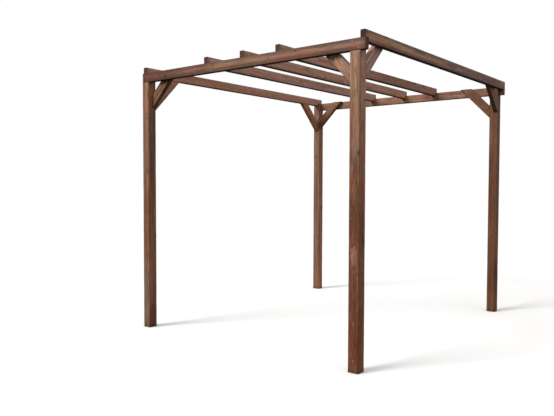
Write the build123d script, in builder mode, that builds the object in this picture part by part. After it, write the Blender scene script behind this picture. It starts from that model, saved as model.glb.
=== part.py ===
from build123d import *
import os
from math import atan2, cos, sin

os.makedirs("parts", exist_ok=True)

# A freestanding garden pergola in planed softwood: four posts, two beams let into the post heads,
# five rafters notched over the beams and eight mitred knee braces.
# X runs along the beams, +Y along the rafters from the front to the back, and +Z is up.
# The origin is on the ground in the middle of the outline.

# Posts: square timber, long edges rounded by the planer
post_width = 90.0
post_length = 2500.0
post_arris = 5.0

# Beams: one at the front and one at the back, on edge
beam_thick = 45.0
beam_depth = 90.0
beam_length = 2500.0

# Rafters: five across the beams, on edge
rafter_thick = 45.0
rafter_depth = 90.0
rafter_length = 3000.0
rafter_notch = 35.0

# The three inner rafters are spaced by eye: left faces, measured from the beams' left ends
second_rafter_at = 835.0
third_rafter_at = 1265.0
fourth_rafter_at = 1655.0

# Knee braces: two at each post, measured along their long edge
brace_thick = 45.0
brace_width = 90.0
brace_reach = 340.0
brace_rise = 340.0

# Rounded long edges of the thinner timbers
thin_arris = 4.0

# The left posts stand proud of the beam ends by this much
post_proud = 20.0

# Sawn shoulders are cut this much wider than the timber that they receive
shoulder_play = 0.5

# Heights
beam_top = post_length
beam_bottom = beam_top - beam_depth
rafter_bottom = beam_top - rafter_notch
rafter_top = rafter_bottom + rafter_depth

# Outline on the ground
left_edge = -(post_proud + beam_length) / 2
beam_left = left_edge + post_proud
beam_right = beam_left + beam_length
front_edge = -rafter_length / 2
back_edge = rafter_length / 2

# The right rafter passes outside the right posts, flush with the beam ends
first_rafter_x = beam_left
last_rafter_x = beam_right - rafter_thick
left_post_x = left_edge + post_width / 2
right_post_x = last_rafter_x - post_width / 2

# A side of the frame: the y of its outer face, and the direction from there to the middle
sides = {"front": (front_edge, 1), "back": (back_edge, -1)}
post_rows = {"left": left_post_x, "right": right_post_x}


def keep(piece, name):
    piece.part.label = name
    export_step(piece.part, f"parts/{name}.step")


# Posts: the outer half of the head is rebated for the beam, the inner half stands up behind it.
# The rebate runs only as far as the beam does, so the left posts keep a cheek beside its end.
def make_post(name, x, outer_face, inward):
    seat_left = max(x - post_width / 2, beam_left)
    seat_right = min(x + post_width / 2, beam_right)
    with BuildPart() as post:
        with BuildSketch(Plane.XY):
            with Locations((x, outer_face + inward * post_width / 2)):
                RectangleRounded(post_width, post_width, post_arris)
        extrude(amount=post_length)
        with BuildSketch(Plane.XY.offset(beam_bottom)):
            with Locations(((seat_left + seat_right) / 2, outer_face + inward * beam_thick / 2)):
                Rectangle(seat_right - seat_left, beam_thick)
        extrude(amount=beam_depth, mode=Mode.SUBTRACT)
    keep(post, name)


for side, (outer_face, inward) in sides.items():
    for row, x in post_rows.items():
        make_post(f"post_{side}_{row}", x, outer_face, inward)


# Beams: flush with the outer faces of the posts, seated on the shoulders of the rebates
def make_beam(name, outer_face, inward):
    with BuildPart() as beam:
        with BuildSketch(Plane.YZ.offset(beam_left)):
            with Locations((outer_face + inward * beam_thick / 2, beam_bottom + beam_depth / 2)):
                RectangleRounded(beam_thick, beam_depth, thin_arris)
        extrude(amount=beam_length)
    keep(beam, name)


for side, (outer_face, inward) in sides.items():
    make_beam(f"beam_{side}", outer_face, inward)


# Rafters: each end is notched from below to drop over the beam, and cut flush with its outer face
def make_rafter(name, left_face, seat_width):
    middle = left_face + rafter_thick / 2
    notch_length = seat_width + shoulder_play
    with BuildPart() as rafter:
        with BuildSketch(Plane.XZ.offset(-front_edge)):
            with Locations((middle, rafter_bottom + rafter_depth / 2)):
                RectangleRounded(rafter_thick, rafter_depth, thin_arris)
        extrude(amount=-rafter_length)
        with BuildSketch(Plane.XY.offset(rafter_bottom)):
            for outer_face, inward in sides.values():
                with Locations((middle, outer_face + inward * notch_length / 2)):
                    Rectangle(rafter_thick, notch_length)
        extrude(amount=rafter_notch, mode=Mode.SUBTRACT)
    keep(rafter, name)


# The first rafter lies over the left post heads, so its notches span beam and post
make_rafter("rafter_1", first_rafter_x, post_width)
make_rafter("rafter_2", beam_left + second_rafter_at, beam_thick)
make_rafter("rafter_3", beam_left + third_rafter_at, beam_thick)
make_rafter("rafter_4", beam_left + fourth_rafter_at, beam_thick)
make_rafter("rafter_5", last_rafter_x, beam_thick)


# Knee braces: the foot is cut plumb against the post and the head is cut level
brace_slope = atan2(brace_rise, brace_reach)
foot_cut = brace_width / cos(brace_slope)
head_cut = brace_width / sin(brace_slope)


def make_brace(name, post_face, reach_way, head_level):
    foot = Vector(post_face.X, post_face.Y, head_level - brace_rise)
    plane = Plane(foot, x_dir=reach_way, z_dir=reach_way.cross(Vector(0, 0, 1)))
    with BuildPart() as brace:
        with BuildSketch(plane):
            with BuildLine():
                Polyline(
                    (0, 0),
                    (brace_reach, brace_rise),
                    (brace_reach - head_cut, brace_rise),
                    (0, foot_cut),
                    close=True,
                )
            make_face()
        extrude(amount=brace_thick / 2, both=True)
        long_way = Axis(foot, reach_way * brace_reach + Vector(0, 0, brace_rise))
        fillet(brace.edges().filter_by(long_way), thin_arris)
    keep(brace, name)


# Beam braces lap the beam's inner face, in line with the standing half of the post head
for side, (outer_face, inward) in sides.items():
    brace_y = outer_face + inward * (beam_thick + brace_thick / 2)
    left_face = Vector(left_post_x + post_width / 2, brace_y)
    right_face = Vector(right_post_x - post_width / 2, brace_y)
    make_brace(f"brace_{side}_left_beam", left_face, Vector(1, 0, 0), beam_top)
    make_brace(f"brace_{side}_right_beam", right_face, Vector(-1, 0, 0), beam_top)

# Rafter braces: on the left they meet the first rafter from below, on the right they lap the last one
for side, (outer_face, inward) in sides.items():
    brace_y = outer_face + inward * post_width
    left_face = Vector(first_rafter_x + rafter_thick / 2, brace_y)
    right_face = Vector(last_rafter_x - brace_thick / 2, brace_y)
    make_brace(f"brace_{side}_left_rafter", left_face, Vector(0, inward, 0), rafter_bottom)
    make_brace(f"brace_{side}_right_rafter", right_face, Vector(0, inward, 0), rafter_top)
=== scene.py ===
import math
import random

import bmesh
import bpy
from mathutils import Matrix, Vector, noise


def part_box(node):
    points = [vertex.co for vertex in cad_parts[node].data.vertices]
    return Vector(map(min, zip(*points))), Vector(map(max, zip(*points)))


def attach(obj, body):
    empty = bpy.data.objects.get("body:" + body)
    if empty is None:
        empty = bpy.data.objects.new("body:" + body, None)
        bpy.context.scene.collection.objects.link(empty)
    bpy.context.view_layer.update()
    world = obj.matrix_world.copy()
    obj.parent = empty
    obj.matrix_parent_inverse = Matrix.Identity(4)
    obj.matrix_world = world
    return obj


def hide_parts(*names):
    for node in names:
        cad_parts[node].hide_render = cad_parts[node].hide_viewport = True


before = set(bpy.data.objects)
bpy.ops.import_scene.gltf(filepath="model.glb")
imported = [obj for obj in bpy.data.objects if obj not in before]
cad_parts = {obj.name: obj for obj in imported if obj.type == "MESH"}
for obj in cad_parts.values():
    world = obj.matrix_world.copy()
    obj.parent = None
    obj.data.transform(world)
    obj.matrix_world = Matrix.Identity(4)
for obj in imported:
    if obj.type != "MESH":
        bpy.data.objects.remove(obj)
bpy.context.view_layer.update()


# The four posts: planed softwood, 90 mm square, with the long edges rounded by the planer.
# Each is cut square at the foot and its head is rebated so that a beam can bear on the
# outer half. The wood is pressure treated brown and has begun to dry and split.

class Finish:
    """One node material, put together a step at a time."""

    def __init__(self, name):
        self.material = bpy.data.materials.new(name)
        self.material.use_nodes = True
        self.tree = self.material.node_tree
        self.shader = self.tree.nodes["Principled BSDF"]

    def feed(self, socket, value):
        if isinstance(value, bpy.types.NodeSocket):
            self.tree.links.new(value, socket)
        else:
            socket.default_value = value

    def maths(self, work, *terms):
        node = self.tree.nodes.new("ShaderNodeMath")
        node.operation = work
        for socket, term in zip(node.inputs, terms):
            self.feed(socket, term)
        return node.outputs[0]

    def aim(self, work, *terms):
        node = self.tree.nodes.new("ShaderNodeVectorMath")
        node.operation = work
        for socket, term in zip(node.inputs, terms):
            self.feed(socket, term)
        return node.outputs["Value" if work in ("DOT_PRODUCT", "LENGTH") else "Vector"]

    def point(self, x, y, z):
        node = self.tree.nodes.new("ShaderNodeCombineXYZ")
        for socket, term in zip(node.inputs, (x, y, z)):
            self.feed(socket, term)
        return node.outputs[0]

    def clouds(self, place, detail=2.0, roughness=0.5, output=0):
        node = self.tree.nodes.new("ShaderNodeTexNoise")
        self.feed(node.inputs["Vector"], place)
        node.inputs["Scale"].default_value = 1.0
        node.inputs["Detail"].default_value = detail
        node.inputs["Roughness"].default_value = roughness
        return node.outputs[output]

    def spread(self, value, low, high, to_low=0.0, to_high=1.0):
        node = self.tree.nodes.new("ShaderNodeMapRange")
        node.interpolation_type = "SMOOTHSTEP"
        for socket, term in zip(node.inputs, (value, low, high, to_low, to_high)):
            self.feed(socket, term)
        return node.outputs[0]

    def blend(self, amount, first, second, way="MIX"):
        node = self.tree.nodes.new("ShaderNodeMix")
        node.data_type = "RGBA"
        node.blend_type = way
        for index, term in ((0, amount), (6, first), (7, second)):
            self.feed(node.inputs[index], term)
        return node.outputs[2]

    def scale_ramp(self, value, stops):
        node = self.tree.nodes.new("ShaderNodeValToRGB")
        self.feed(node.inputs[0], value)
        band = node.color_ramp
        while len(band.elements) < len(stops):
            band.elements.new(0.5)
        for element, (place, paint) in zip(band.elements, stops):
            element.position = place
            element.color = paint
        return node.outputs[0]


def colour(red, green, blue):
    """A colour given as 0 to 255 on a screen, as the light that it stands for."""
    return tuple(((part / 255 + 0.055) / 1.055) ** 2.4 for part in (red, green, blue)) + (1.0,)


def treated_pine(name, lie, pith, ring_gap, seed, cast=(1.0, 1.0, 1.0),
                 end_cast=(1.0, 1.0, 1.0), knots=(), marks=(), stain_and_light_tints=(), belly=None,
                 branches=0.45, red=0.6, even=0.0, mottle=0.45):
    """Brown treated softwood, worked out from how the timber was cut from its tree.

    pith is where the tree's middle ran, across and up from the timber's own middle, and ring_gap
    is one year's growth. cast and end_cast tint the whole timber and its sawn ends; cast is partly
    the stain and partly painted light and shade, lighter or darker as the timber was lit.
    knots, marks and shades lie in known places, and belly is a place where the rings bulge.
    branches is the share of the pith's other knots that grew, red how much of the redder
    stain took, even how evenly the stain took, and mottle how dark the blotches are.
    """
    finish = Finish(name)
    maths, aim, point = finish.maths, finish.aim, finish.point
    clouds, spread, blend = finish.clouds, finish.spread, finish.blend

    # Where a point lies in the timber: across it, up it, and along its grain.
    place = finish.tree.nodes.new("ShaderNodeTexCoord")
    from_middle = aim("SUBTRACT", place.outputs["Object"], lie["middle"])
    across = aim("DOT_PRODUCT", from_middle, lie["across"])
    up = aim("DOT_PRODUCT", from_middle, lie["up"])
    along = aim("DOT_PRODUCT", from_middle, lie["along"])
    inside = point(across, up, along)

    def streaks(fine, long, shift, detail=2.0, roughness=0.5, output=0):
        """Soft streaks: 1 / fine metres wide and 1 / long metres in length."""
        where = point(maths("MULTIPLY_ADD", across, fine, seed + shift),
                      maths("MULTIPLY_ADD", up, fine, seed * 1.7 - shift),
                      maths("MULTIPLY_ADD", along, long, seed * 0.3 + shift * 2.1))
        return clouds(where, detail, roughness, output)

    def nearness(spot, half_wide, half_long):
        """How far a point is from a spot on the timber, as a share of the spot's own size."""
        off = Vector(spot) - Vector(lie["middle"])
        own = tuple(off.dot(Vector(lie[way])) for way in ("across", "up", "along"))
        size = (1 / half_wide, 1 / half_wide, 1 / half_long)
        return aim("LENGTH", aim("MULTIPLY", aim("SUBTRACT", inside, own), size))

    # The pith wanders along the timber, and the growth rings follow it.
    sway = aim("SUBTRACT", streaks(0.0, 0.9, 11.0, detail=1.0, output=1), (0.5, 0.5, 0.5))
    wobble = aim("SUBTRACT", streaks(14.0, 3.0, 23.0, output=1), (0.5, 0.5, 0.5))
    bent = aim("ADD", aim("MULTIPLY", sway, (0.07, 0.07, 0.0)),
               aim("MULTIPLY", wobble, (0.008, 0.008, 0.0)))
    flat = aim("SUBTRACT", point(across, up, 0.0), (pith[0], pith[1], 0.0))
    from_pith = aim("ADD", flat, bent)
    parts = finish.tree.nodes.new("ShaderNodeSeparateXYZ")
    finish.feed(parts.inputs[0], from_pith)
    radius = aim("LENGTH", from_pith)
    turn = maths("ARCTAN2", parts.outputs[1], parts.outputs[0])
    if belly:
        radius = maths("MULTIPLY_ADD", spread(nearness(*belly), 1.0, 0.0), 0.014, radius)

    # Knots: branches that run out from the pith. Far from a knot the measure is large.
    around = point(maths("MULTIPLY", maths("COSINE", turn), 0.06),
                   maths("MULTIPLY", maths("SINE", turn), 0.06),
                   maths("MULTIPLY_ADD", along, 0.62, seed))
    cells = finish.tree.nodes.new("ShaderNodeTexVoronoi")
    between_cells = finish.tree.nodes.new("ShaderNodeTexVoronoi")
    between_cells.feature = "DISTANCE_TO_EDGE"
    for pattern in (cells, between_cells):
        finish.feed(pattern.inputs["Vector"], around)
        pattern.inputs["Scale"].default_value = 7.5
    shade_of_knot = finish.tree.nodes.new("ShaderNodeSeparateColor")
    finish.feed(shade_of_knot.inputs[0], cells.outputs["Color"])
    pale_knot = spread(shade_of_knot.outputs[0], 0.45, 0.65)
    no_branch = maths("GREATER_THAN", shade_of_knot.outputs[1], branches)
    no_branch = maths("ADD", no_branch, spread(between_cells.outputs["Distance"], 0.10, 0.0))
    knot = maths("DIVIDE", cells.outputs["Distance"], 0.085)
    knot = maths("MULTIPLY_ADD", no_branch, 9.0, knot)
    for spot, size, paleness in knots:
        own = nearness(spot, size, size * 1.4)
        nearer = maths("LESS_THAN", own, knot)
        elsewhere = maths("MULTIPLY", pale_knot, maths("SUBTRACT", 1.0, nearer))
        pale_knot = maths("MULTIPLY_ADD", nearer, paleness, elsewhere)
        knot = maths("MINIMUM", knot, own)
    heart = spread(knot, 1.05, 0.8)
    rim = maths("MULTIPLY", spread(knot, 0.65, 0.95), spread(knot, 1.25, 1.0))
    swirl = spread(knot, 3.0, 0.9)

    # Growth rings: a slow pale part, then a thin dark part that ends at once.
    ring = maths("DIVIDE", maths("MULTIPLY_ADD", swirl, 0.009, radius), ring_gap)
    phase = maths("FRACT", ring)
    late = maths("MULTIPLY", spread(phase, 0.35, 0.86), spread(phase, 1.0, 0.94))
    year = clouds(point(maths("MULTIPLY_ADD", ring, 0.55, seed), seed,
                        maths("MULTIPLY", along, 0.5)))

    # Stain: broad and narrow streaks, years that took more or less of it, and patches.
    broad = spread(streaks(34.0, 0.9, 3.0), 0.3, 0.7)
    narrow = spread(streaks(120.0, 2.2, 5.0), 0.28, 0.72)
    fibre = streaks(520.0, 16.0, 7.0, detail=3.0, roughness=0.6)
    depth = maths("ADD", maths("MULTIPLY", broad, 0.42),
                  maths("ADD", maths("MULTIPLY", narrow, 0.34),
                        maths("MULTIPLY", spread(year, 0.3, 0.7), 0.24)))
    depth = maths("MULTIPLY_ADD", depth, 1.0 - even, 0.56 * even)
    tone = finish.scale_ramp(depth, ((0.05, colour(106, 66, 46)), (0.35, colour(138, 95, 70)),
                                     (0.65, colour(164, 123, 96)),
                                     (0.95, colour(186, 150, 124))))
    patch = streaks(9.0, 1.9, 31.0)
    other_patch = streaks(11.0, 2.3, 47.0)
    third_patch = streaks(16.0, 3.1, 61.0)
    for cloud, low, high, share, paint in ((patch, 0.48, 0.66, red, colour(134, 74, 50)),
                                           (other_patch, 0.50, 0.68, 0.6, colour(118, 94, 60)),
                                           (third_patch, 0.52, 0.72, 0.4, colour(142, 106, 98))):
        tone = blend(maths("MULTIPLY", spread(cloud, low, high), share), tone, paint)

    # Stain that stands out in one place, and a few painted shades and shadows: the middle of it,
    # its half width and half length.
    ragged = maths("MULTIPLY_ADD", streaks(60.0, 5.0, 53.0), 0.7,
                   maths("MULTIPLY_ADD", streaks(130.0, 18.0, 59.0), 0.9, -0.8))
    for spot, half_wide, half_long, paint, amount, *firm in marks:
        share = spread(maths("ADD", nearness(spot, half_wide, half_long), ragged),
                       1.0, firm[0] if firm else 0.25)
        tone = blend(maths("MULTIPLY", share, amount), tone, paint)

    # Blotches a hand long, the dark latewood lines, and the open ends of fibres.
    blotch = streaks(85.0, 13.0, 19.0, detail=3.0, roughness=0.6)
    dark_blotch = maths("MULTIPLY", spread(blotch, 0.53, 0.72), mottle)
    pale_blotch = maths("MULTIPLY", spread(blotch, 0.46, 0.30), 0.28)
    ring_depth = maths("MULTIPLY", late, spread(other_patch, 0.7, 0.3, 0.16, 0.48))
    dark_fibre = maths("MULTIPLY", spread(fibre, 0.55, 0.75), 0.32)
    pale_fibre = maths("MULTIPLY", spread(fibre, 0.45, 0.28), 0.16)
    for share, paint in ((dark_blotch, colour(84, 48, 32)), (pale_blotch, colour(184, 142, 114)),
                         (ring_depth, colour(74, 42, 28)), (dark_fibre, colour(80, 50, 36)),
                         (pale_fibre, colour(196, 160, 134))):
        tone = blend(share, tone, paint)

    # Each knot has a dark rim and its own rings, and is palest in the middle, where it has
    # begun to crack; the wood around it took more stain.
    knot_rings = maths("SINE", maths("MULTIPLY_ADD", fibre, 3.0, maths("MULTIPLY", knot, 19.0)))
    knot_wood = blend(pale_knot, colour(76, 44, 30), colour(176, 132, 108))
    knot_wood = blend(spread(knot, 0.75, 0.1, 0.0, 0.55), knot_wood, colour(150, 98, 70))
    knot_wood = blend(spread(knot_rings, 0.0, 1.0, 0.0, 0.45), knot_wood, colour(48, 28, 20))
    knot_crack = maths("ABSOLUTE", maths("SUBTRACT", streaks(210.0, 60.0, 67.0), 0.5))
    knot_crack = maths("MULTIPLY", spread(knot_crack, 0.03, 0.01), 0.6)
    knot_wood = blend(knot_crack, knot_wood, colour(30, 18, 14))
    tone = blend(maths("MULTIPLY", swirl, 0.34), tone, colour(116, 66, 44))
    tone = blend(heart, tone, knot_wood)
    rim_depth = maths("MULTIPLY_ADD", pale_knot, -0.45, 0.75)
    tone = blend(maths("MULTIPLY", rim, rim_depth), tone, colour(44, 25, 19))

    # Stain soaks deeper near a sawn end. The rounded long edges are darkened as painted shade, and
    # are rubbed paler again in places. On a level timber a painted shade also runs along the lower
    # edge, where the underside falls in shade.
    end_near = maths("SUBTRACT", lie["half_along"], maths("ABSOLUTE", along))
    soaked = spread(maths("MULTIPLY_ADD", narrow, 0.03, end_near), 0.07, 0.015)
    soaked = maths("MULTIPLY", soaked, 0.5)
    edge_near = maths("MAXIMUM", maths("SUBTRACT", lie["half_across"], maths("ABSOLUTE", across)),
                      maths("SUBTRACT", lie["half_up"], maths("ABSOLUTE", up)))
    # Painted shade: a thin dark strip along each rounded long edge.
    painted_edge_shade = spread(maths("MULTIPLY_ADD", fibre, 0.002, edge_near), 0.0075, 0.002)
    painted_edge_shade = maths("MULTIPLY", painted_edge_shade, spread(broad, 0.0, 1.0, 0.80, 0.56))
    if abs(lie["along"][2]) < 0.1:
        # Painted shade along the lower edge of a level timber.
        painted_lower_edge_shade = spread(maths("ADD", up, lie["half_up"]), 0.012, 0.003)
        painted_edge_shade = maths("MAXIMUM", painted_edge_shade, maths("MULTIPLY", painted_lower_edge_shade, 0.6))
    # The stain near the ends and the painted shade on the edges share one dark colour.
    tone = blend(maths("MAXIMUM", soaked, painted_edge_shade), tone, colour(54, 30, 28))
    rubbed = maths("MULTIPLY", spread(edge_near, 0.003, 0.001), spread(blotch, 0.56, 0.66))
    tone = blend(maths("MULTIPLY", rubbed, 0.5), tone, colour(176, 136, 108))

    # Lengths tinted lighter or darker: middle, half width, half length and tint. The tints are
    # partly stain and partly painted light and shade: one face painted lighter or darker than the
    # next, or dark bands of painted shade along the edges.
    for spot, half_wide, half_long, tint in stain_and_light_tints:
        share = spread(nearness(spot, half_wide, half_long), 1.0, 0.55)
        tone = blend(share, tone, tuple(tint) + (1.0,), "MULTIPLY")

    # A few long hair cracks follow the grain; the deep splits are cut in the mesh.
    hair = maths("ABSOLUTE", maths("SUBTRACT", streaks(30.0, 0.55, 83.0, detail=1.0), 0.5))
    cracking = spread(streaks(5.0, 2.6, 97.0), 0.52, 0.60)
    hair = maths("MULTIPLY", spread(hair, 0.006, 0.001), cracking)
    split = finish.tree.nodes.new("ShaderNodeAttribute")
    split.attribute_name = "split"
    cracked = maths("MAXIMUM", hair, split.outputs["Fac"])
    tone = blend(maths("MULTIPLY", cracked, 0.88), tone, colour(34, 20, 16))
    # The cast tints the whole timber: partly its stain, partly painted light and shade.
    tone = blend(1.0, tone, tuple(cast) + (1.0,), "MULTIPLY")

    # Where the saw went across the grain: darker, with rings and rays out from the pith.
    facing = maths("ABSOLUTE", aim("DOT_PRODUCT", place.outputs["Normal"], lie["along"]))
    sawn = spread(facing, 0.45, 0.65)
    rays = clouds(point(maths("MULTIPLY", turn, 9.0), maths("MULTIPLY", radius, 14.0), seed),
                  detail=3.0)
    rays = maths("MULTIPLY", spread(rays, 0.56, 0.66), 0.75)
    end_wood = blend(late, colour(120, 84, 70), colour(66, 40, 34))
    end_wood = blend(rays, end_wood, colour(38, 24, 24))
    end_wood = blend(maths("MULTIPLY", spread(patch, 0.4, 0.7), 0.4), end_wood, colour(84, 58, 62))
    end_wood = blend(1.0, end_wood, tuple(end_cast) + (1.0,), "MULTIPLY")
    tone = blend(sawn, tone, end_wood)
    finish.feed(finish.shader.inputs["Base Color"], tone)

    # Latewood is a little shinier than the rest; sawn ends and cracks are dull.
    dullness = maths("MULTIPLY_ADD", narrow, 0.12, 0.56)
    for part, more in ((late, -0.07), (sawn, 0.2), (cracked, 0.15)):
        dullness = maths("MULTIPLY_ADD", part, more, dullness)
    finish.feed(finish.shader.inputs["Roughness"], dullness)
    finish.shader.inputs["Specular IOR Level"].default_value = 0.35

    # Relief, in metres: raised latewood, fibres, cutter marks, knots, cracks and saw cuts.
    cutter_step = 0.0048
    cutter = maths("SINE", maths("MULTIPLY", along, 2 * math.pi / cutter_step))
    height = maths("MULTIPLY", cutter, 0.000012)
    rough_saw = maths("MULTIPLY", streaks(900.0, 900.0, 71.0, detail=3.0), sawn)
    for part, rise in ((late, 0.00011), (fibre, 0.00035), (rim, -0.0004), (hair, -0.0009),
                       (rough_saw, 0.0008)):
        height = maths("MULTIPLY_ADD", part, rise, height)
    bump = finish.tree.nodes.new("ShaderNodeBump")
    bump.inputs["Distance"].default_value = 1.0
    bump.inputs["Strength"].default_value = 0.7
    finish.feed(bump.inputs["Height"], height)
    finish.feed(finish.shader.inputs["Normal"], bump.outputs[0])
    return finish.material


def straight_lie(node, along):
    """How a timber lies: its middle, its three directions and its half widths."""
    low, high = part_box(node)
    across, up = {"X": ("Y", "Z"), "Y": ("X", "Z"), "Z": ("X", "Y")}[along]
    way = {"X": (1.0, 0.0, 0.0), "Y": (0.0, 1.0, 0.0), "Z": (0.0, 0.0, 1.0)}
    size = high - low
    half = dict(zip("XYZ", size / 2))
    return {"middle": tuple((low + high) / 2),
            "along": way[along], "across": way[across], "up": way[up],
            "half_along": half[along], "half_across": half[across], "half_up": half[up]}


def worked_timber(name, node, lie, splits, chance, finish):
    """The CAD timber with its drying splits opened and its rounded edges a little uneven."""
    slice_length, slice_shift = 0.0125, 0.0007
    rounded, deepest_wear, sharp_angle = 0.0045, 0.0009, 38
    middle = Vector(lie["middle"])
    along, across, up = Vector(lie["along"]), Vector(lie["across"]), Vector(lie["up"])
    timber = bmesh.new()
    timber.from_mesh(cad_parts[node].data)
    bmesh.ops.remove_doubles(timber, verts=timber.verts, dist=1e-6)
    bmesh.ops.dissolve_limit(timber, angle_limit=math.radians(0.6), verts=timber.verts,
                             edges=timber.edges)

    def cut(parts, spot, facing):
        bmesh.ops.bisect_plane(timber, geom=parts, dist=1e-6, plane_co=spot, plane_no=facing)

    slices = int(lie["half_along"] / slice_length) + 1
    for index in range(-slices, slices + 1):
        cut(timber.verts[:] + timber.edges[:] + timber.faces[:],
            middle + along * (index * slice_length + slice_shift), along)

    # A split is three cuts side by side in one face: two lips, and a middle that is pushed in.
    flags = timber.verts.layers.float.new("split")
    lips = timber.edges.layers.int.new("lip")
    moves, on_lip = {}, set()
    for face_way, side, offset, start, end, width, deep in splits:
        facing, beside = (across, up) if face_way == "across" else (up, across)
        half = lie["half_" + face_way]

        def split_here(face):
            centre = face.calc_center_median() - middle
            return (face.normal.dot(facing) * side > 0.99 and start < centre.dot(along) < end
                    and abs(centre.dot(facing) * side - half) < 1e-4)

        faces = [face for face in timber.faces if split_here(face)]
        for shift in (-width / 2, 0.0, width / 2):
            parts = set(faces)
            for face in faces:
                parts.update(face.edges)
                parts.update(face.verts)
            cut(list(parts), middle + beside * (offset + shift), beside)
            faces = [face for face in timber.faces if split_here(face)]
        for vertex in {vertex for face in faces for vertex in face.verts}:
            away = vertex.co - middle
            line = away.dot(beside) - offset
            run = (away.dot(along) - start) / (end - start)
            if abs(line) > width / 2 + 1e-5 or not 0.0 <= run <= 1.0:
                continue
            if abs(line) > 1e-5 and abs(abs(line) - width / 2) > 1e-5:
                continue
            opening = math.sin(math.pi * run) ** 0.6
            opening *= 0.75 + 0.5 * noise.noise(Vector((run * 7.0, offset * 90.0, 3.0)))
            wander = 0.0035 * noise.noise(Vector((away.dot(along) * 5.0, offset * 70.0, 1.0)))
            ends = min(1.0, 8.0 * min(run, 1.0 - run))
            push = beside * (wander * ends - line * (1.0 - max(0.12, opening)))
            if abs(line) <= 1e-5:
                push -= facing * side * deep * opening
                vertex[flags] = min(1.0, opening * 1.4)
            else:
                on_lip.add(vertex)
            moves[vertex] = push

    # The rounded edges are worn unevenly along their length, and only inwards.
    for vertex in timber.verts:
        if vertex in moves:
            continue
        away = vertex.co - middle
        sideways, upwards, lengthwise = away.dot(across), away.dot(up), away.dot(along)
        near_across = lie["half_across"] - abs(sideways)
        near_up = lie["half_up"] - abs(upwards)
        if (min(near_across, near_up) > 2e-4
                and 0.0 <= near_across < rounded and 0.0 <= near_up < rounded):
            knock = noise.noise(Vector((lengthwise * 9.0, sideways * 60.0 + chance,
                                        upwards * 60.0)))
            worn = deepest_wear * max(0.0, knock + 0.2)
            moves[vertex] = (-across * math.copysign(worn, sideways)
                             - up * math.copysign(worn, upwards))
    for edge in timber.edges:
        edge[lips] = edge.verts[0] in on_lip and edge.verts[1] in on_lip
    low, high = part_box(node)
    for vertex, push in moves.items():
        moved = vertex.co + push
        vertex.co = [min(max(place, least), most) for place, least, most in zip(moved, low, high)]
    bmesh.ops.triangulate(timber, faces=[face for face in timber.faces if len(face.verts) > 4])

    mesh = bpy.data.meshes.new(name)
    timber.to_mesh(mesh)
    timber.free()
    mesh.materials.clear()
    mesh.materials.append(finish)
    mesh.polygons.foreach_set("use_smooth", [True] * len(mesh.polygons))
    mesh.set_sharp_from_angle(angle=math.radians(sharp_angle))
    for edge, lip in zip(mesh.attributes["sharp_edge"].data, mesh.attributes["lip"].data):
        edge.value = edge.value or bool(lip.value)
    mesh.attributes.remove(mesh.attributes["lip"])
    piece = bpy.data.objects.new(name, mesh)
    bpy.context.scene.collection.objects.link(piece)
    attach(piece, "root")
    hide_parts(node)


def drying_splits(lie, draw, count, faces):
    """Splits of mixed length and width, near the middle of the faces that are named."""
    found = []
    for index in range(count):
        face_way, side = faces[index % len(faces)]
        beside = lie["half_up"] if face_way == "across" else lie["half_across"]
        length = draw.uniform(0.25, 0.75) * min(1.0, lie["half_along"])
        start = draw.uniform(-lie["half_along"] + 0.05, lie["half_along"] - 0.05 - length)
        found.append((face_way, side, draw.uniform(-0.45, 0.45) * beside, start, start + length,
                      draw.uniform(0.0014, 0.0026), draw.uniform(0.003, 0.006)))
    return found


all_four = (("across", 1), ("up", -1), ("across", -1), ("up", 1))
dark_red, dull_red, orange = colour(90, 46, 26), colour(116, 56, 40), colour(150, 84, 42)
olive, mauve, pale_pink = colour(96, 68, 38), colour(150, 126, 116), colour(156, 108, 82)
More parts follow.
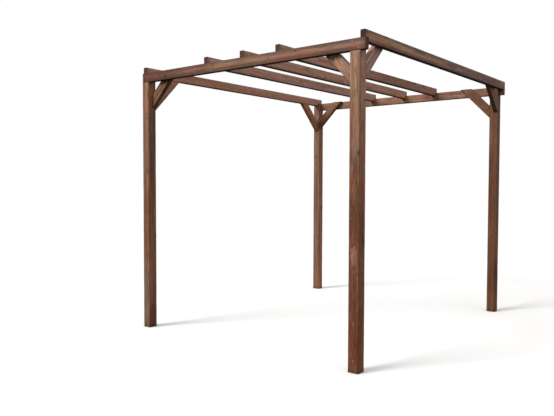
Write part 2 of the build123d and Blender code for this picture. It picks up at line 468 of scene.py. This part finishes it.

# Each post as it was cut and stained. A knot is a spot, a radius and how pale it is. A mark is a
# spot, half its width, half its length, a colour and how much of it; a tinted length has a tint
# instead. The tints are partly stain and partly painted light and shade, and those that cover one
# face only paint it lighter or darker as it was lit.
post_wood = {
    "post_front_right": {
        "pith": (0.004, 0.006), "ring_gap": 0.0047, "seed": 3.1, "branches": 0.0, "mottle": 0.8,
        "belly": ((1.176, -1.5, 0.875), 0.05, 0.16),
        "knots": (((1.207, -1.5, 1.652), 0.0095, 0.0), ((1.185, -1.5, 1.430), 0.006, 0.0),
                  ((1.183, -1.5, 1.378), 0.006, 1.0), ((1.143, -1.5, 1.165), 0.006, 1.0),
                  ((1.206, -1.5, 0.722), 0.007, 1.0), ((1.172, -1.5, 0.092), 0.010, 0.7),
                  ((1.215, -1.43, 2.05), 0.008, 0.0), ((1.215, -1.46, 0.45), 0.007, 0.3),
                  ((1.125, -1.45, 1.90), 0.011, 0.0), ((1.125, -1.44, 0.95), 0.009, 1.0),
                  ((1.160, -1.41, 1.66), 0.010, 0.2), ((1.185, -1.41, 0.60), 0.012, 0.0)),
        "stain_and_light_tints": (((1.17, -1.5, 0.62), 9.0, 1.20, (0.97, 0.82, 0.69)),
                   ((1.17, -1.5, 1.80), 9.0, 0.26, (0.92, 0.78, 0.74)),
                   ((1.17, -1.5, 2.26), 9.0, 0.36, (1.10, 1.08, 1.11)),
                   ((1.155, -1.5, 1.38), 0.08, 0.42, (0.78, 0.76, 0.70)),
                   ((1.180, -1.5, 1.12), 0.05, 0.24, (0.94, 0.84, 0.72)),
                   ((1.155, -1.5, 2.34), 0.08, 0.30, (1.10, 1.20, 1.20)),
                   # On the +X face: painted light along most of its height, and painted shade at
                   # its head under the beam.
                   ((1.215, -1.455, 0.95), 0.06, 1.40, (1.20, 1.24, 1.20)),
                   ((1.215, -1.455, 2.36), 0.06, 0.28, (0.98, 0.88, 0.84))),
        "marks": (((1.170, -1.455, 0.60), 1.35, 1.32, dark_red, 0.74),
                  ((1.180, -1.5, 1.705), 0.042, 0.12, mauve, 0.6),
                  ((1.140, -1.5, 1.830), 0.020, 0.16, colour(134, 84, 62), 0.6),
                  ((1.175, -1.5, 1.580), 0.040, 0.07, colour(118, 96, 68), 0.7),
                  ((1.185, -1.5, 1.510), 0.040, 0.09, dull_red, 0.8),
                  ((1.150, -1.5, 1.438), 0.026, 0.13, orange, 0.75),
                  ((1.165, -1.5, 1.275), 0.026, 0.16, dull_red, 0.7),
                  ((1.196, -1.5, 1.190), 0.026, 0.30, olive, 0.7),
                  ((1.215, -1.450, 1.120), 0.034, 0.17, colour(86, 50, 50), 0.7),
                  ((1.215, -1.440, 0.990), 0.030, 0.07, colour(50, 16, 18), 0.85),
                  ((1.172, -1.5, 0.888), 0.038, 0.085, colour(180, 134, 112), 0.75, 0.5),
                  ((1.176, -1.5, 0.760), 0.030, 0.06, colour(130, 84, 56), 0.6),
                  ((1.183, -1.5, 0.655), 0.014, 0.05, colour(54, 28, 16), 0.75),
                  ((1.180, -1.5, 0.530), 0.013, 0.08, colour(60, 32, 20), 0.65),
                  ((1.192, -1.5, 0.620), 0.026, 0.16, colour(106, 78, 46), 0.7),
                  ((1.150, -1.5, 0.450), 0.024, 0.14, colour(118, 80, 50), 0.6),
                  ((1.168, -1.5, 0.375), 0.012, 0.02, colour(150, 112, 88), 0.7),
                  ((1.135, -1.5, 0.312), 0.020, 0.09, dull_red, 0.8),
                  ((1.190, -1.5, 0.185), 0.034, 0.13, colour(104, 44, 28), 0.8))},
    "post_front_left": {
        "pith": (0.028, 0.012), "ring_gap": 0.0042, "seed": 8.4, "cast": (0.78, 0.71, 0.59),
        "knots": (((-1.188, -1.5, 1.547), 0.012, 0.5), ((-1.215, -1.5, 2.085), 0.016, 0.8)),
        "stain_and_light_tints": (((-1.215, -1.5, 2.28), 0.07, 0.40, (1.28, 1.32, 1.36)),
                   ((-1.215, -1.5, 0.25), 0.07, 0.60, (0.70, 0.84, 1.02)),
                   ((-1.170, -1.455, 1.85), 0.06, 0.50, (0.72, 0.72, 0.82)),
                   ((-1.170, -1.455, 0.50), 0.06, 0.40, (1.12, 1.05, 1.06)),
                   ((-1.170, -1.455, 0.10), 0.06, 0.18, (0.82, 0.64, 0.56))),
        "marks": (((-1.215, -1.5, 2.15), 0.08, 0.20, pale_pink, 0.5),
                  ((-1.200, -1.5, 1.20), 0.07, 0.25, dull_red, 0.5),
                  ((-1.215, -1.5, 0.35), 0.09, 0.55, colour(186, 142, 116), 0.55),
                  ((-1.170, -1.45, 1.0), 0.03, 1.20, dark_red, 0.35))},
    "post_back_left": {
        "pith": (-0.014, -0.022), "ring_gap": 0.0039, "seed": 15.7, "cast": (1.02, 0.92, 0.86),
        "stain_and_light_tints": (((-1.215, 1.41, 0.85), 0.06, 0.95, (0.73, 0.74, 0.80)),
                   ((-1.215, 1.41, 2.00), 0.06, 0.40, (0.80, 0.96, 1.16)),
                   ((-1.170, 1.455, 0.35), 0.06, 0.60, (1.32, 1.32, 1.30)),
                   ((-1.170, 1.455, 1.90), 0.06, 0.50, (0.92, 0.78, 0.64))),
        "marks": (((-1.215, 1.41, 2.30), 0.07, 0.20, colour(150, 116, 104), 0.7),)},
    "post_back_right": {
        "pith": (0.012, -0.030), "ring_gap": 0.0044, "seed": 22.9, "cast": (0.49, 0.345, 0.23),
        "stain_and_light_tints": (((1.17, 1.41, 1.86), 9.0, 0.22, (1.22, 1.24, 1.34)),
                   ((1.17, 1.41, 0.80), 9.0, 0.45, (1.30, 1.32, 1.30)),
                   ((1.17, 1.41, 0.10), 9.0, 0.16, (1.35, 1.40, 1.50)),
                   ((1.17, 1.41, 1.10), 9.0, 0.10, (0.82, 0.80, 0.70))),
        "marks": (((1.150, 1.41, 1.72), 0.03, 0.20, dull_red, 0.6),
                  ((1.215, 1.425, 0.48), 0.036, 0.16, colour(84, 34, 32), 0.85))},
}
for node, wood in post_wood.items():
    lie = straight_lie(node, "Z")
    draw = random.Random(node)
    finish = treated_pine(node + "_wood", lie, **wood)
    worked_timber(node + "_timber", node, lie, drying_splits(lie, draw, 5, all_four),
                  draw.random() * 9.0, finish)


# The two beams: planed boards on edge, 45 by 90 mm, bearing in the rebates of the post
# heads with their outer faces flush with the posts. Same brown treated softwood.
beam_wood = {
    "beam_front": {
        "pith": (0.060, 0.034), "ring_gap": 0.0050, "seed": 36.4, "cast": (0.98, 0.92, 0.91),
        "end_cast": (0.62, 0.42, 0.46), "branches": 0.2, "even": 0.45,
        "knots": (((-0.925, -1.5, 2.444), 0.013, 0.0), ((0.62, -1.5, 2.478), 0.006, 0.0)),
        "marks": (((-1.05, -1.48, 2.455), 0.50, 0.62, colour(118, 62, 46), 0.85),
                  ((-0.42, -1.5, 2.455), 0.05, 0.10, dull_red, 0.5),
                  ((1.17, -1.5, 2.445), 0.05, 0.07, orange, 0.45)),
        # The long dark bands along the top and bottom of the face, and the shorter ones at the
        # right, are painted shade; the pale band along the middle is painted light.
        "stain_and_light_tints": (((-0.70, -1.5, 2.455), 9.0, 0.80, (0.86, 0.88, 0.86)),
                   ((0.00, -1.5, 2.412), 0.038, 4.00, (0.62, 0.56, 0.54)),
                   ((0.00, -1.5, 2.500), 0.034, 4.00, (0.66, 0.66, 0.70)),
                   ((-1.10, -1.5, 2.455), 9.0, 0.42, (0.92, 0.86, 0.76)),
                   ((0.20, -1.5, 2.457), 0.026, 2.20, (1.06, 1.10, 1.12)),
                   ((0.88, -1.5, 2.457), 0.030, 0.40, (1.06, 1.12, 1.12)),
                   ((1.06, -1.5, 2.488), 0.030, 0.40, (0.68, 0.68, 0.72)),
                   ((1.00, -1.5, 2.424), 0.024, 0.26, (0.84, 0.76, 0.72)))},
    "beam_back": {
        "pith": (0.060, -0.010), "ring_gap": 0.0046, "seed": 38.8, "cast": (1.08, 1.06, 1.07),
        "red": 0.4, "even": 0.3,
        "marks": (((0.95, 1.455, 2.46), 0.06, 0.12, olive, 0.6),),
        "stain_and_light_tints": (((-1.10, 1.455, 2.46), 9.0, 0.24, (0.78, 0.76, 0.74)),
                   ((0.10, 1.455, 2.46), 9.0, 0.26, (1.20, 1.22, 1.24)),
                   ((0.54, 1.455, 2.46), 9.0, 0.28, (0.80, 0.76, 0.76)))},
}
for node, wood in beam_wood.items():
    lie = straight_lie(node, "X")
    draw = random.Random(node)
    finish = treated_pine(node + "_wood", lie, **wood)
    splits = drying_splits(lie, draw, 4, (("across", -1), ("across", 1)))
    worked_timber(node + "_timber", node, lie, splits, draw.random() * 9.0, finish)


# The five rafters: planed boards on edge, 45 by 90 mm and 3 m long, notched over both
# beams. The ends are left square and show dark end grain.
dark_ends = (0.66, 0.52, 0.54)
rafter_wood = {
    "rafter_1": {
        "pith": (0.048, 0.006), "ring_gap": 0.0044, "seed": 45.5, "cast": (1.42, 1.36, 1.46),
        "end_cast": dark_ends, "red": 0.3, "even": 0.5,
        "stain_and_light_tints": (((-1.195, -1.27, 2.50), 0.05, 0.16, (0.68, 0.72, 0.72)),)},
    "rafter_2": {
        "pith": (-0.056, 0.012), "ring_gap": 0.0041, "seed": 52.3, "cast": (1.44, 1.50, 1.95),
        "end_cast": dark_ends, "red": 0.35, "even": 0.5},
    "rafter_3": {
        "pith": (-0.044, -0.016), "ring_gap": 0.0049, "seed": 59.9, "cast": (1.46, 1.52, 1.72),
        "end_cast": dark_ends, "red": 0.35, "even": 0.5},
    "rafter_4": {
        "pith": (-0.062, 0.004), "ring_gap": 0.0045, "seed": 66.4, "cast": (1.44, 1.54, 1.75),
        "end_cast": dark_ends, "red": 0.35, "even": 0.5,
        "stain_and_light_tints": (((0.46, 0.98, 2.51), 9.0, 1.35, (0.68, 0.54, 0.54)),)},
    "rafter_5": {
        "pith": (-0.050, -0.008), "ring_gap": 0.0048, "seed": 73.6, "cast": (1.04, 1.06, 1.05),
        "end_cast": (0.34, 0.22, 0.36), "even": 0.2,
        "knots": (((1.26, 0.905, 2.505), 0.011, 0.0), ((1.26, 0.868, 2.478), 0.006, 1.0)),
        # Along the outer face: the dark bands at the lower and upper edges are painted shade and
        # the paler middle between them painted light; the top edge is painted paler at the far
        # end.
        "stain_and_light_tints": (((1.26, -0.30, 2.472), 0.030, 1.60, (0.74, 0.68, 0.74)),
                   ((1.26, -0.45, 2.549), 0.026, 1.50, (0.72, 0.76, 0.86)),
                   ((1.26, -0.95, 2.512), 0.026, 1.10, (1.28, 1.34, 1.36)),
                   ((1.26, 0.18, 2.512), 0.060, 0.26, (0.70, 0.70, 0.76)),
                   ((1.26, 1.35, 2.545), 0.020, 0.60, (1.20, 1.35, 1.40))),
        # The long dark mark low on the outer face is painted shade too.
        "marks": (((1.26, 0.00, 2.474), 0.026, 3.00, colour(82, 56, 48), 0.5),
                  ((1.26, -1.10, 2.485), 0.03, 0.09, olive, 0.7),
                  ((1.26, -0.62, 2.535), 0.02, 0.16, colour(74, 52, 48), 0.6),
                  ((1.26, 0.02, 2.515), 0.03, 0.16, colour(92, 58, 54), 0.5),
                  ((1.26, 1.05, 2.50), 0.10, 0.75, colour(84, 56, 58), 0.85),
                  ((1.26, 0.45, 2.50), 0.05, 0.18, dull_red, 0.5))},
}
for node, wood in rafter_wood.items():
    lie = straight_lie(node, "Y")
    draw = random.Random(node)
    finish = treated_pine(node + "_wood", lie, **wood)
    splits = drying_splits(lie, draw, 4, (("across", 1), ("across", -1)))
    worked_timber(node + "_timber", node, lie, splits, draw.random() * 9.0,
                  finish)


# The eight knee braces: short pieces of the same 45 by 90 mm board at 45 degrees, cut plumb
# against the post and level at the head.
half_brace_width, half_brace_thick, half_brace_length = 0.045, 0.0225, 0.24


def brace_lie(node):
    """A brace leans from its post, low down, to the timber that it props, at its head."""
    low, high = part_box(node)
    middle = (low + high) / 2
    if node.endswith("beam"):
        out = Vector((1.0 if middle.x < 0.0 else -1.0, 0.0, 0.0))
        across = Vector((0.0, 1.0, 0.0))
    else:
        out = Vector((0.0, 1.0 if middle.y < 0.0 else -1.0, 0.0))
        across = Vector((1.0, 0.0, 0.0))
    upright = Vector((0.0, 0.0, 1.0))
    along = (out + upright).normalized()
    up = (upright - out).normalized()
    return {"middle": tuple(middle + up * half_brace_width),
            "along": tuple(along), "across": tuple(across), "up": tuple(up),
            "half_along": half_brace_length, "half_across": half_brace_thick,
            "half_up": half_brace_width}


brace_wood = {
    "front_left_beam": {"cast": (0.76, 0.70, 0.60), "seed": 80.0},
    "front_left_rafter": {"cast": (1.45, 1.38, 1.50), "seed": 86.3},
    "front_right_beam": {
        "cast": (1.18, 1.32, 1.45), "seed": 92.6, "branches": 0.0, "red": 0.3,
        "knots": (((0.878, -1.455, 2.400), 0.010, 0.1), ((0.948, -1.455, 2.378), 0.009, 0.0)),
        "marks": (((0.90, -1.455, 2.39), 0.07, 0.08, colour(104, 58, 42), 0.75),
                  ((1.00, -1.455, 2.33), 0.035, 0.07, colour(178, 110, 74), 0.75))},
    "front_right_rafter": {
        "cast": (1.42, 1.50, 1.98), "seed": 98.9, "branches": 0.2, "red": 0.2,
        # The dark mark at the head, just under the rafter, is a painted shadow.
        "marks": (((1.215, -1.13, 2.47), 0.07, 0.09, colour(84, 58, 44), 0.8),)},
    "back_left_beam": {"cast": (0.86, 0.78, 0.70), "seed": 105.2},
    "back_left_rafter": {"cast": (1.48, 1.32, 1.28), "seed": 111.5},
    "back_right_beam": {"cast": (0.62, 0.48, 0.40), "seed": 117.8},
    "back_right_rafter": {"cast": (0.50, 0.43, 0.32), "seed": 124.1},
}
for place, wood in brace_wood.items():
    node = "brace_" + place
    lie = brace_lie(node)
    draw = random.Random(node)
    pith = (draw.choice((-0.05, 0.05)), draw.uniform(-0.02, 0.02))
    finish = treated_pine(node + "_wood", lie, pith, draw.uniform(0.0038, 0.0050), **wood)
    worked_timber(node + "_timber", node, lie, [], draw.random() * 9.0, finish)


# The screws: zinc-plated countersunk wood screws with a star recess, driven until the heads
# sit level with the wood. Two hold each beam end in its post head, one goes down through a
# rafter over each beam, and each brace has one at its foot and one or two at its head.
plate = Finish("zinc_plate")
spot_on_screw = plate.tree.nodes.new("ShaderNodeTexCoord").outputs["Object"]
cloudy = plate.clouds(plate.aim("MULTIPLY", spot_on_screw, (420.0,) * 3), detail=3.0)
scratch = plate.clouds(plate.aim("MULTIPLY", spot_on_screw, (2600.0,) * 3))
zinc = plate.scale_ramp(cloudy, ((0.30, colour(128, 118, 102)), (0.52, colour(160, 150, 130)),
                                 (0.64, colour(146, 112, 82)), (0.78, colour(92, 62, 44))))
plate.feed(plate.shader.inputs["Base Color"], zinc)
plate.feed(plate.shader.inputs["Roughness"],
           plate.spread(plate.maths("ADD", cloudy, scratch), 0.7, 1.3, 0.28, 0.55))
plate.shader.inputs["Metallic"].default_value = 1.0
scratched = plate.tree.nodes.new("ShaderNodeBump")
scratched.inputs["Distance"].default_value = 0.00005
plate.feed(scratched.inputs["Height"], scratch)
plate.feed(plate.shader.inputs["Normal"], scratched.outputs[0])


def drive_screws(name, places):
    """Turned screws with a struck recess; a place is a spot, the way out and a turn."""
    corners, tip_depth, pit_depth, star_depth, sharp_angle = 36, 0.034, 0.0024, 0.13, 35
    # Distance out from the axis, height above the wood, and how far the ring is star-shaped.
    turned = ((0.0024, -0.0300, 0.0), (0.0024, -0.0036, 0.0), (0.0046, -0.0008, 0.0),
              (0.0050, -0.0003, 0.0), (0.0050, 0.0001, 0.0), (0.0047, 0.0004, 0.0),
              (0.0040, 0.0004, 0.0), (0.0028, 0.0003, 0.9), (0.0025, 0.0002, 1.0),
              (0.0023, -0.0018, 1.0))
    steel = bmesh.new()
    for spot, out, turned_by in places:
        out = Vector(out).normalized()
        aside = out.orthogonal().normalized()
        beside = out.cross(aside)
        rings = []
        for wide, high, star in turned:
            ring = []
            for corner in range(corners):
                angle = 2 * math.pi * corner / corners
                reach = wide * (1.0 + star_depth * star * math.cos(6 * angle))
                ring.append(steel.verts.new(Vector(spot) + out * high
                                            + aside * reach * math.cos(angle + turned_by)
                                            + beside * reach * math.sin(angle + turned_by)))
            rings.append(ring)
        for below, above in zip(rings, rings[1:]):
            for corner in range(corners):
                after = (corner + 1) % corners
                steel.faces.new((below[corner], below[after], above[after], above[corner]))
        tip = steel.verts.new(Vector(spot) - out * tip_depth)
        pit = steel.verts.new(Vector(spot) - out * pit_depth)
        for corner in range(corners):
            after = (corner + 1) % corners
            steel.faces.new((rings[0][after], rings[0][corner], tip))
            steel.faces.new((rings[-1][corner], rings[-1][after], pit))
    bmesh.ops.recalc_face_normals(steel, faces=steel.faces)
    mesh = bpy.data.meshes.new(name)
    steel.to_mesh(mesh)
    steel.free()
    mesh.materials.append(plate.material)
    mesh.polygons.foreach_set("use_smooth", [True] * len(mesh.polygons))
    mesh.set_sharp_from_angle(angle=math.radians(sharp_angle))
    piece = bpy.data.objects.new(name, mesh)
    bpy.context.scene.collection.objects.link(piece)
    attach(piece, "root")


by_hand = random.Random("screws")


def about(*spot):
    """A place marked by hand, so up to 2 mm out."""
    return tuple(part + by_hand.uniform(-0.002, 0.002) for part in spot)


# How far out the beams' outer faces and middles are, and the brace screws from a brace's
# ends: one at the foot, one under the head, or two in the head's side, lower and higher.
beam_face, beam_middle = 1.5, 1.4775
at_foot, under_head, beside_head = 0.068, 0.066, ((0.062, -0.016), (0.112, 0.020))
places = []
for outer, out in ((-beam_face, (0, -1, 0)), (beam_face, (0, 1, 0))):
    for x, z in ((1.201, 2.431), (1.146, 2.480), (-1.186, 2.431), (-1.220, 2.480)):
        x, z = about(x, z)
        places.append(((x, outer, z), out, by_hand.random()))
drive_screws("beam_screws", places)

places = []
for node in rafter_wood:
    low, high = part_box(node)
    for y in (-beam_middle, beam_middle):
        x, y = about((low.x + high.x) / 2, y)
        places.append(((x, y, high.z), (0, 0, 1), by_hand.random()))
drive_screws("rafter_screws", places)

places = []
for place in brace_wood:
    node = "brace_" + place
    lie = brace_lie(node)
    middle, along = Vector(lie["middle"]), Vector(lie["along"])
    up, across = Vector(lie["up"]), Vector(lie["across"])
    under = middle - up * half_brace_width
    foot, = about(at_foot)
    places.append((under + along * (foot - half_brace_length), -up, by_hand.random()))
    if place.endswith("left_rafter"):
        head, = about(under_head)
        places.append((under + along * (half_brace_length - head), -up, by_hand.random()))
    else:
        inner = -math.copysign(1.0, middle.dot(across)) * across
        for head, rise in beside_head:
            head, rise = about(head, rise)
            places.append((middle + inner * half_brace_thick
                           + along * (half_brace_length - head) + up * rise,
                           inner, by_hand.random()))
drive_screws("brace_screws", places)


# The ground and the light: a plain pale floor that fades out, and a soft light from the
# front left, as under a bright sky.
def grey(level):
    return (level, level, level, 1.0)


floor_mesh = bpy.data.meshes.new("floor")
disc = bmesh.new()
bmesh.ops.create_circle(disc, cap_ends=True, segments=96, radius=11.0)
disc.to_mesh(floor_mesh)
disc.free()
floor = bpy.data.objects.new("floor", floor_mesh)
bpy.context.scene.collection.objects.link(floor)
pale = Finish("pale_floor")
here = pale.tree.nodes.new("ShaderNodeTexCoord").outputs["Object"]
mottle = pale.clouds(here, detail=3.0)
pale.feed(pale.shader.inputs["Base Color"], pale.blend(mottle, grey(0.93), grey(0.96)))
pale.shader.inputs["Roughness"].default_value = 0.9
pale.feed(pale.shader.inputs["Alpha"], pale.spread(pale.aim("LENGTH", here), 10.5, 4.0))
floor.data.materials.append(pale.material)
floor.visible_diffuse = False
floor.visible_glossy = False

for lamp, way, strength, width in (("sky_key", (0.45, 1.0, -0.78), 2.55, 24.0),
                                   ("sky_fill", (-1.0, 0.25, -0.35), 0.68, 70.0)):
    light = bpy.data.lights.new(lamp, "SUN")
    light.energy = strength
    light.angle = math.radians(width)
    light.color = (1.0, 0.985, 0.96)
    holder = bpy.data.objects.new(lamp, light)
    holder.rotation_euler = Vector(way).to_track_quat("-Z", "Y").to_euler()
    bpy.context.scene.collection.objects.link(holder)

# The sky that lights the wood is brightest at the horizon; the camera sees it white.
sky = bpy.data.worlds.new("soft_sky")
sky.use_nodes = True
bpy.context.scene.world = sky
sky_nodes, sky_links = sky.node_tree.nodes, sky.node_tree.links
sky_nodes.clear()
way = sky_nodes.new("ShaderNodeTexCoord")
split_way = sky_nodes.new("ShaderNodeSeparateXYZ")
level = sky_nodes.new("ShaderNodeMapRange")
level.inputs["From Min"].default_value = -0.20
level.inputs["From Max"].default_value = 0.15
level.inputs["To Min"].default_value = 0.04
level.inputs["To Max"].default_value = 0.78
glow = sky_nodes.new("ShaderNodeBackground")
white = sky_nodes.new("ShaderNodeBackground")
white.inputs["Color"].default_value = grey(1.0)
seen = sky_nodes.new("ShaderNodeLightPath")
choose = sky_nodes.new("ShaderNodeMixShader")
sky_out = sky_nodes.new("ShaderNodeOutputWorld")
sky_links.new(way.outputs["Generated"], split_way.inputs[0])
sky_links.new(split_way.outputs[2], level.inputs[0])
sky_links.new(level.outputs[0], glow.inputs["Strength"])
sky_links.new(seen.outputs["Is Camera Ray"], choose.inputs[0])
sky_links.new(glow.outputs[0], choose.inputs[1])
sky_links.new(white.outputs[0], choose.inputs[2])
sky_links.new(choose.outputs[0], sky_out.inputs[0])
bpy.context.scene.view_settings.view_transform = "Standard"


# The camera, where the photograph was taken: about 1.4 m above the ground, off the near
# right corner, looking slightly down.
eye = bpy.data.cameras.new("eye")
eye.sensor_fit = "HORIZONTAL"
eye.sensor_width = 36.0
eye.lens = 40.154
camera = bpy.data.objects.new("eye", eye)
camera.matrix_world = (Matrix.Translation((3.5976, -5.4464, 1.4267))
                       @ Matrix.Rotation(0.6753, 4, "Z")
                       @ Matrix.Rotation(math.pi / 2 - 0.0396, 4, "X")
                       @ Matrix.Rotation(0.0024, 4, "Z"))
bpy.context.scene.collection.objects.link(camera)
bpy.context.scene.camera = camera
